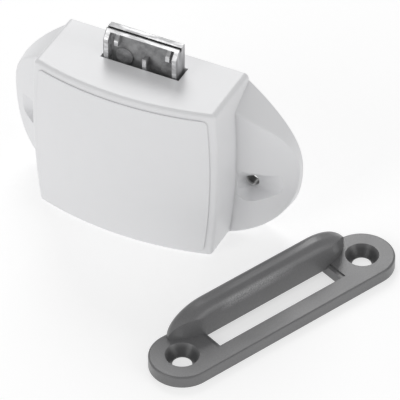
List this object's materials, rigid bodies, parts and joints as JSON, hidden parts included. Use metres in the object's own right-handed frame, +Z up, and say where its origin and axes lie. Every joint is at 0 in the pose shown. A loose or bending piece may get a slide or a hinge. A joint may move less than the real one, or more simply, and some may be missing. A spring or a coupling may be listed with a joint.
{
  "type": "pushbutton cabinet lock",
  "caption": "Rim-mounted push-push cabinet lock: crowned white case with screw ears, metal bolt driven by a sprung plunger, and a ridged grey strike plate lying beside it.",
  "frame": {"origin": "on the mounting plane at the button's axis, midway between the case's screw holes", "axes": "+X to the right of a viewer who faces the case's front, +Y into the door, +Z up, the way the bolt comes out"},
  "size_m": [0.0884, 0.0568, 0.0435],
  "materials": {
    "white_plastic": "satin",
    "black_plastic": "satin",
    "grey_plastic": "satin",
    "zinc_casting": "as cast",
    "zinc_plated_steel": "bright",
    "spring_steel": "bright"
  },
  "bodies": {
    "case": {"housing": "white_plastic", "base_plate": "white_plastic", "base_plate_screws": "zinc_plated_steel", "plunger_spring": "spring_steel", "track_wire": "spring_steel", "strike_plate": "grey_plastic"},
    "plunger": {"push_plunger": "black_plastic", "cam_pin_left": "zinc_plated_steel", "cam_pin_right": "zinc_plated_steel", "knob_ring": "spring_steel"},
    "bolt": {"latch_bolt": "zinc_casting"}
  },
  "joints": [
    {"name": "plunger_press", "type": "slide", "parent": "case", "child": "plunger", "axis": [0, 1, 0], "range_m": [-0.0008, 0.0067], "deforming": ["plunger_spring", "track_wire"]},
    {"name": "bolt_throw", "type": "slide", "parent": "case", "child": "bolt", "axis": [0, 0, 1], "range_m": [-0.0067, 0.0008]}
  ],
  "couplings": [
    {"joint": "bolt_throw", "follows": "plunger_press", "ratio": -1}
  ]
}
